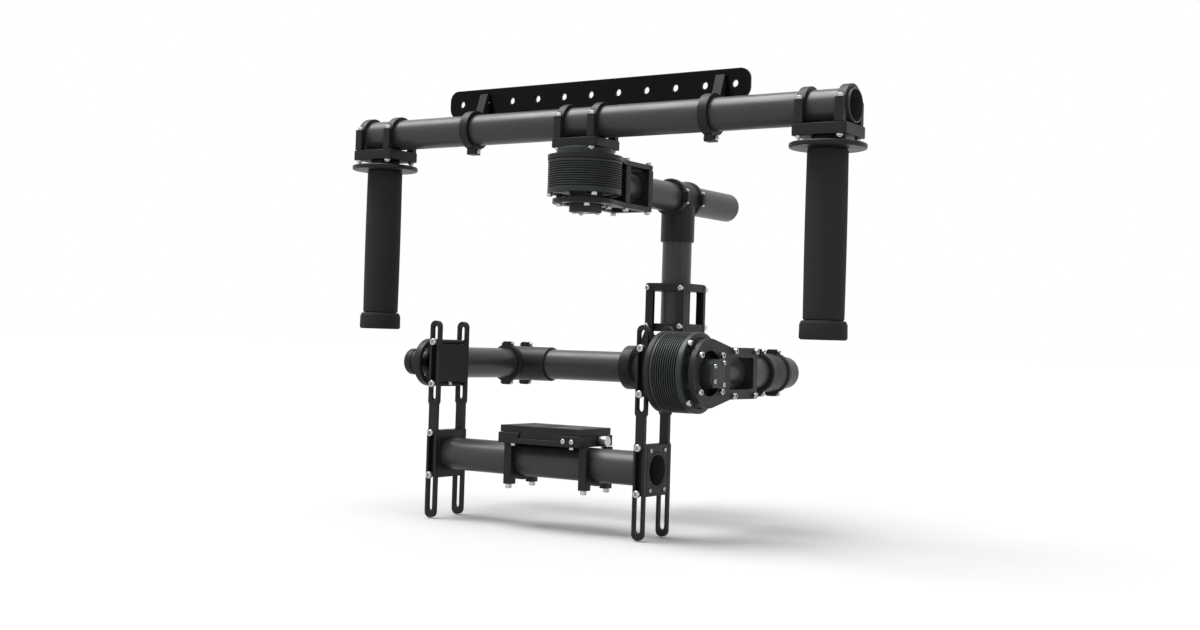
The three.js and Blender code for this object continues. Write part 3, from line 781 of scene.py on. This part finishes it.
def build_grip(side):
    centre = middle(f"{side}_grip")
    centre.z = 0
    place = along(2, centre)
    build_sleeve(side, place)
    build_end_cap(side, place)
    build_collar(side, place)


# ---------- rail ----------

def build_rail():
    node = "accessory_rail"
    low, high = span(node)
    size = high - low
    first = -RAIL_PITCH * (RAIL_HOLES - 1) / 2
    holes = [circle(RAIL_HOLE, first + i * RAIL_PITCH, 0, RAIL_HOLE_SIDES) for i in range(RAIL_HOLES)]
    outline = rounded_rectangle(size.x, size.z, RAIL_CORNER, RAIL_CORNER_STEPS)
    replacement(node, plate(outline, size.y, holes, RAIL_EDGE), "rail", facing_front(middle(node)))


# ---------- motor units ----------

def can_profile(top, radius):
    """The finned can, from the bore at its outer face round to the bore at its inner face."""
    fins_low = CAN_BOTTOM + BEZEL_HEIGHT
    fins_high = top - RIM
    pitch = (fins_high - fins_low) / FIN_COUNT
    root = radius - FIN_DEPTH
    face = CAN_BOTTOM + FACE_DEPTH
    profile = [
        (CAN_BORE, face), (radius - BEZEL_FOOT, face),
        (radius - BEZEL_LIP - FINE_EDGE, CAN_BOTTOM + FINE_EDGE), (radius - BEZEL_LIP, CAN_BOTTOM),
        (radius - SOFT_EDGE, CAN_BOTTOM), (radius, CAN_BOTTOM + SOFT_EDGE),
        (radius, fins_low - FINE_EDGE), (radius - FINE_EDGE, fins_low),
    ]
    for i in range(FIN_COUNT):
        groove = fins_low + i * pitch
        fin = groove + 0.5 * pitch
        end = groove + pitch
        profile += [
            (root, groove + GROOVE_TAPER), (root, fin - GROOVE_TAPER),
            (radius - FIN_EDGE, fin), (radius, fin + FIN_EDGE),
            (radius, end - FIN_EDGE), (radius - FIN_EDGE, end),
        ]
    # The last fin runs on into the rim, so its own upper edge is left out
    return [*profile[:-1], (radius, top - CAN_TOP_EDGE), (radius - CAN_TOP_EDGE, top), (CAN_BORE, top)]


def build_can(unit):
    """A finned can, the boss on its outer end, with two corners cut off, and the boss's cover."""
    node = f"{unit}_motor_housing"
    place = unit_frame(unit)
    corners = [place.inverted() @ corner for corner in span(node)]
    low = Vector([min(a, b) for a, b in zip(*corners)])
    high = Vector([max(a, b) for a, b in zip(*corners)])
    can = turned(can_profile(high.z, high.x))
    inner = BOSS_HALF - BOSS_CUT
    outline = [(BOSS_HALF, BOSS_HALF), (-BOSS_HALF, BOSS_HALF), (-BOSS_HALF, -inner), (-inner, -BOSS_HALF),
               (inner, -BOSS_HALF), (BOSS_HALF, -inner)]
    depth = CAN_BOTTOM + FACE_DEPTH + OVERLAP - low.z
    boss = raised(plate(outline, depth, edge=SOFT_EDGE), low.z + depth / 2)
    square = rounded_rectangle(COVER["size"], COVER["size"], COVER["corner"])
    cover = raised(plate(square, COVER["thickness"], edge=FINE_EDGE), low.z + COVER["sunk"])
    replacement(node, merged(can, boss, cover), "motor", place)


def build_unit_screws(unit):
    """The screws of the plates, of the posts, of the bezel and of the boss."""
    place = unit_frame(unit)
    turn = place.to_3x3()
    down = turn @ Vector((0, 0, -1))
    up = turn @ Vector((0, 0, 1))
    outer_end = (hex_nut, UNIT_NUT) if unit == "roll" else (socket_head, M3)
    local = [(*outer_end, down, Vector((x, y, -UNIT_HALF))) for x, y in BOX_SCREWS]
    local += [(socket_head, M3, up, Vector((x, y, UNIT_HALF))) for x, y in BOX_SCREWS]
    local += [(socket_head, M3, down, polar(RING_CIRCLE, angle, -UNIT_HALF)) for angle in RING_ANGLES]
    local += [(socket_head, M3, down, polar(BEZEL_CIRCLE, angle, CAN_BOTTOM)) for angle in BEZEL_ANGLES]
    local += [(socket_head, SMALL, down, Vector((x, y, BOSS_FACE))) for x, y in BOSS_SCREWS]
    shapes = [(maker, size, direction, place @ at) for maker, size, direction, at in local]
    fasteners(f"{unit}_unit_screws", BODY_OF[f"{unit}_motor_housing"], shapes)


def rotor_profile(foot):
    """A rotor's shaft and the underside of its flange, from the axis up to the flange's side."""
    return [
        (0, SHAFT_BOTTOM), (SHAFT_RADIUS, SHAFT_BOTTOM), (SHAFT_RADIUS, FLANGE_BOTTOM),
        (FLANGE_RADIUS - SOFT_EDGE, FLANGE_BOTTOM), (FLANGE_RADIUS, FLANGE_BOTTOM + foot),
    ]


def build_pan_rotor():
    place = unit_frame("pan")
    top = (place.inverted() @ span("pan_rotor")[1]).z
    profile = [
        *rotor_profile(PAN_FLANGE_FOOT), (FLANGE_RADIUS, top - PAN_FLANGE_EDGE),
        (FLANGE_RADIUS - PAN_FLANGE_EDGE, top), (0, top),
    ]
    replacement("pan_rotor", turned(profile), "motor", place)


def build_roll_hub():
    """The roll rotor, whose neck runs up into a ring around the crossbar."""
    node = "roll_rotor_hub"
    place = unit_frame("roll")
    crossbar = (place.inverted() @ middle("crossbar_tube")).z
    neck_end = crossbar - HUB_NECK_END
    flare, flare_height = HUB_FLARE
    profile = [
        *rotor_profile(SOFT_EDGE), (FLANGE_RADIUS, FLANGE_TOP - SOFT_EDGE),
        (FLANGE_RADIUS - SOFT_EDGE, FLANGE_TOP),
        *[(HUB_NECK + outward, FLANGE_TOP + up) for outward, up in HUB_FILLET],
        (HUB_NECK, neck_end - flare_height), (HUB_NECK + flare, neck_end), (0, neck_end),
    ]
    half = HUB_RING["half_width"]
    bore_half = HUB_RING["bore_half"]
    ring = rod(0, HUB_RING["radius"], -half, half, SOFT_EDGE, (0, 0, crossbar))
    bore = rod(0, CLAMP_BORE, -bore_half, bore_half, origin=(0, 0, crossbar))
    replacement(node, cut(joined(turned(profile), ring), bore), "anodised", place)
    outward = place.to_3x3() @ Vector((0, 0, 1))
    points = [place @ polar(HUB_CIRCLE, angle, FLANGE_TOP) for angle in HUB_ANGLES]
    fasteners("roll_hub_screws", BODY_OF[node], [(socket_head, SMALL, outward, at) for at in points])


# ---------- tees and the left bearing ----------

def build_tee(node, sleeve_axis):
    """Two split rings with ears on one tube, joined to the sleeve of a second tube, and their screws."""
    low, high = span(node)
    index = main_axis(sleeve_axis)
    end = high[index] if sleeve_axis[index] > 0 else low[index]
    centre = middle(node)
    centre[index] = end - TEE_REACH * sleeve_axis[index]
    half = (high - low)[main_axis(TEE_CLAMP_AXIS)] / 2
    place = basis(sleeve_axis, TEE_CLAMP_AXIS, sleeve_axis.cross(TEE_CLAMP_AXIS), centre)
    body_half = half - TEE_BODY_INSET
    ring_half = TEE_RING["width"] / 2
    ring_at = half - ring_half
    ear = rounded_rectangle(TEE_EAR["width"], TEE_EAR["height"], TEE_EAR["corner"])
    rings = []
    for sign in (-1, 1):
        at = (0, sign * ring_at, 0)
        rings.append(rod(1, TEE_RING["radius"], -ring_half, ring_half, SOFT_EDGE, at))
        rings.append(moved(plate(ear, TEE_RING["width"], edge=TEE_EAR["edge"]), facing_front(at)))
    body = rod(1, TEE_BODY, -body_half, body_half)
    sleeve = rod(0, TEE_SLEEVE, 0, TEE_REACH, SOFT_EDGE)
    through = rod(1, CLAMP_BORE, -half - CUT_REACH, half + CUT_REACH)
    socket = rod(0, CLAMP_BORE, TEE_SOCKET_START, TEE_REACH + CUT_REACH)
    replacement(node, cut(joined(body, sleeve, *rings), through, socket), "anodised", place)

    side = TEE_EAR["width"] / 2
    shapes = []
    for sign in (-1, 1):
        for level in (-TEE_EAR["screw_level"], TEE_EAR["screw_level"]):
            head_at = place @ Vector((-side, sign * ring_at, level))
            nut_at = place @ Vector((side, sign * ring_at, level))
            shapes.append((socket_head, TEE_SCREW, -sleeve_axis, head_at))
            shapes.append((hex_nut, TEE_NUT, sleeve_axis, nut_at))
    fasteners(f"{node}_screws", BODY_OF[node], shapes)


def build_left_bearing():
    """A ring with two crossed spokes and a round cap, on a plug in the end of the left arm tube."""
    node = "left_tilt_bearing"
    pivot = joint_point("tilt")
    line = along(0, (0, pivot.y, pivot.z))
    back = BEARING_FACE - BEARING_THICKNESS
    ring = moved(turned(pipe_profile(BEARING_RADIUS, BEARING_RIM, back, BEARING_FACE, BEARING_EDGE)), line)
    spoke = rounded_rectangle(2 * (BEARING_RIM + SPOKE["root"]), SPOKE["width"], SPOKE["corner"])
    spokes = []
    for turn in (0, 90):
        centre = Matrix.Translation((0, 0, (BEARING_FACE + back) / 2))
        place = line @ centre @ Matrix.Rotation(math.radians(turn), 4, "Z")
        spokes.append(moved(plate(spoke, BEARING_THICKNESS, edge=SPOKE["edge"]), place))
    end = span(node)[0].x
    outline = [(BEARING_HUB - inward, end + along_hub) for inward, along_hub in [*HUB_DOME, *HUB_GROOVE]]
    cap = moved(turned([(0, end), *outline, (BEARING_HUB, BEARING_FACE), (0, BEARING_FACE)]), line)
    arm = middle("left_arm_tube")
    arm_front = span("left_arm_tube")[0].y
    arm_line = (arm.x, 0, arm.z)
    seat_front = pivot.y + BEARING_RIM + OVERLAP
    seat = rod(1, SEAT_RADIUS, seat_front, arm_front - GAP, SOFT_EDGE, arm_line)
    plug = rod(1, PLUG_RADIUS, arm_front - OVERLAP, arm_front + PLUG_LENGTH, origin=arm_line)
    shaft_bore = moved(turned(rod_profile(PIVOT_BORE, PIVOT_BORE_END, BEARING_FACE + OVERLAP)), line)
    replacement(node, cut(joined(ring, *spokes, cap, seat, plug), shaft_bore), "anodised")


# ---------- bolts of the handlebar, the uprights and the camera base ----------

def saddle_clamps():
    """Every clamp that holds the handlebar on a base plate, with that plate."""
    clamps = []
    for side in SIDES:
        for end in ("outer", "inner"):
            clamps.append((f"{side}_grip_{end}_clamp", f"{side}_grip_base_plate"))
    for side in SIDES:
        clamps.append((f"pan_{side}_clamp", "pan_base_plate"))
    return clamps


def build_saddle_screws():
    """A cap screw on each leg of a saddle clamp and its nut under the base plate."""
    shapes = []
    for clamp, base in saddle_clamps():
        low, high = span(clamp)
        x = middle(clamp).x
        under = span(base)[0].z
        for y in (low.y + LEG_SCREW, high.y - LEG_SCREW):
            shapes.append((socket_head, M3, (0, 0, 1), Vector((x, y, LEG_TOP))))
            shapes.append((hex_nut, LEG_NUT, (0, 0, -1), Vector((x, y, under))))
    fasteners("handlebar_clamp_screws", "handlebar", shapes)


def build_rail_screws():
    """Two screws through the rail into each clamp, and one across the clamp's ears with its nut."""
    rail_low, rail_high = span("accessory_rail")
    shapes = []
    for side in SIDES:
        clamp = f"{side}_rail_clamp"
        low, high = span(clamp)
        for z in (rail_low.z + RAIL_SCREW_UP, rail_high.z - RAIL_SCREW_DOWN):
            at = Vector((middle(clamp).x, rail_high.y, z))
            shapes.append((socket_head, FLAT_SCREW, (0, 1, 0), at))
        ear_z = low.z + RAIL_EAR_SCREW
        shapes.append((socket_head, EAR_SCREW, (-1, 0, 0), Vector((low.x, 0, ear_z))))
        shapes.append((hex_nut, EAR_SCREW, (1, 0, 0), Vector((high.x, 0, ear_z))))
    fasteners("rail_screws", "handlebar", shapes)


def build_cage_screws():
    """Screws through the slots of the uprights into what is between them, and those of the blocks."""
    tube_z = middle("cage_bottom_tube").z
    pivot = middle("left_pivot_block")
    levels = [centre + step for centre in (pivot.z, tube_z) for step in (-SLOT_SCREW, SLOT_SCREW)]
    shapes = []
    for side in SIDES:
        for row, end in enumerate(("front", "rear")):
            node = f"{side}_{end}_upright"
            direction = Vector((0, 2 * row - 1, 0))
            face = span(node)[row].y
            for level in levels:
                shapes.append((socket_head, M4, direction, Vector((middle(node).x, face, level))))
    low, high = span("right_lower_block")
    for y in (low.y + BLOCK_SCREW_IN, high.y - BLOCK_SCREW_IN):
        for z in (low.z + BLOCK_SCREW_UP, high.z - BLOCK_SCREW_UP):
            shapes.append((socket_head, BLOCK_SCREW, (1, 0, 0), Vector((high.x, y, z))))
    at = Vector((middle("left_front_upright").x, pivot.y, pivot.z - PIVOT_BLOCK_HALF))
    shapes.append((socket_head, M4, (0, 0, -1), at))
    fasteners("cage_screws", "cage", shapes)


def build_base_screws():
    """The screws under and in front of the camera base, and the studs of its two clamps."""
    base_low, base_high = span("camera_base")
    shapes = []
    for side, inward in (("left", BASE_SCREW_INWARD), ("right", -BASE_SCREW_INWARD)):
        clamp = f"{side}_plate_clamp"
        low, high = span(clamp)
        x = middle(clamp).x
        for y in (base_low.y + BASE_SCREW_IN, base_high.y - BASE_SCREW_IN):
            shapes.append((socket_head, FLAT_SCREW, (0, 0, -1), Vector((x + inward, y, base_low.z))))
        for y in (low.y + LEG_SCREW, high.y - LEG_SCREW):
            shapes.append((stud_end, STUD, (0, 0, -1), Vector((x, y, low.z))))
    for inward in BASE_FRONT_SCREWS:
        at = Vector((base_high.x - inward, base_low.y, (base_low.z + base_high.z) / 2))
        shapes.append((socket_head, FRONT_SCREW, (0, -1, 0), at))
    fasteners("camera_base_screws", "cage", shapes)


# ---------- floor, light and camera ----------

FLOOR_DROP = 0.0008  # metres below the rig's lowest point
FLOOR_REACH = 60.0  # metres from the middle to each edge
KEY_ENERGY = 5.5
KEY_WIDTH = math.radians(48)
KEY_FROM = (-0.34, -0.12, 0.93)
CAMERA_YAW = 0.581
CAMERA_PITCH = 0.026
CAMERA_ROLL = 0.030
CAMERA_AT = (778.0, -1157.4, -205.5)  # millimetres
CAMERA_LENS = 45.03
CAMERA_SENSOR = 36
CAMERA_SHIFT = (0.0024, -0.0083)
CAMERA_NEAR = 0.05  # metres


def build_stage():
    floor_z = CAD_BOX[0][2] - FLOOR_DROP
    bm = bmesh.new()
    corners = [(-FLOOR_REACH, -FLOOR_REACH), (FLOOR_REACH, -FLOOR_REACH), (FLOOR_REACH, FLOOR_REACH),
               (-FLOOR_REACH, FLOOR_REACH)]
    bm.faces.new([bm.verts.new((x, y, floor_z)) for x, y in corners])
    mesh = bpy.data.meshes.new("floor")
    bm.to_mesh(mesh)
    bm.free()
    floor = bpy.data.objects.new("floor", mesh)
    bpy.context.scene.collection.objects.link(floor)
    finish = Finish("pale_floor", Roughness=0.9, Specular_IOR_Level=0.1)
    finish.set("Base Color", finish.blend(finish.noise(3), (0.385, 0.385, 0.385), (0.4, 0.4, 0.4)))
    floor.data.materials.append(finish.material)


def build_lights():
    """A white world, and a wide sun high on the left."""
    world = bpy.data.worlds.new("studio")
    world.use_nodes = True
    background = world.node_tree.nodes["Background"]
    background.inputs["Color"].default_value = (1, 1, 1, 1)
    background.inputs["Strength"].default_value = 1.0
    bpy.context.scene.world = world
    light = bpy.data.lights.new("key", "SUN")
    light.energy = KEY_ENERGY
    light.angle = KEY_WIDTH
    key = bpy.data.objects.new("key", light)
    key.rotation_euler = Vector(KEY_FROM).to_track_quat("Z", "Y").to_euler()
    bpy.context.scene.collection.objects.link(key)


def build_camera():
    """A view from the front right, a little upwards, with the rig leaning slightly in the picture."""
    ahead = math.cos(CAMERA_PITCH)
    forward = Vector((-math.sin(CAMERA_YAW) * ahead, math.cos(CAMERA_YAW) * ahead, math.sin(CAMERA_PITCH)))
    level = Vector((math.cos(CAMERA_YAW), math.sin(CAMERA_YAW), 0))
    up = level.cross(forward)
    right = level * math.cos(CAMERA_ROLL) + up * math.sin(CAMERA_ROLL)
    top = up * math.cos(CAMERA_ROLL) - level * math.sin(CAMERA_ROLL)
    data = bpy.data.cameras.new("camera")
    data.sensor_width = CAMERA_SENSOR
    data.lens = CAMERA_LENS
    data.shift_x, data.shift_y = CAMERA_SHIFT
    data.clip_start = CAMERA_NEAR
    camera = bpy.data.objects.new("camera", data)
    camera.matrix_world = basis(right, top, -forward, Vector(CAMERA_AT) * MM)
    bpy.context.scene.collection.objects.link(camera)
    bpy.context.scene.camera = camera
    bpy.context.scene.view_settings.view_transform = "Standard"


build_camera()
build_lights()
build_stage()
build_tubes()
build_rail()
build_pan_rotor()
build_roll_hub()
build_left_bearing()
for side in SIDES:
    build_grip(side)
for unit in UNITS:
    build_can(unit)
    build_unit_screws(unit)
for node, direction in TEE_SLEEVES.items():
    build_tee(node, Vector(direction))
build_saddle_screws()
build_rail_screws()
build_cage_screws()
build_base_screws()
for entry in frame["record"]["subparts"]:
    if entry["node"] not in REBUILT:
        dress_node(entry["node"], entry["material_slot"])
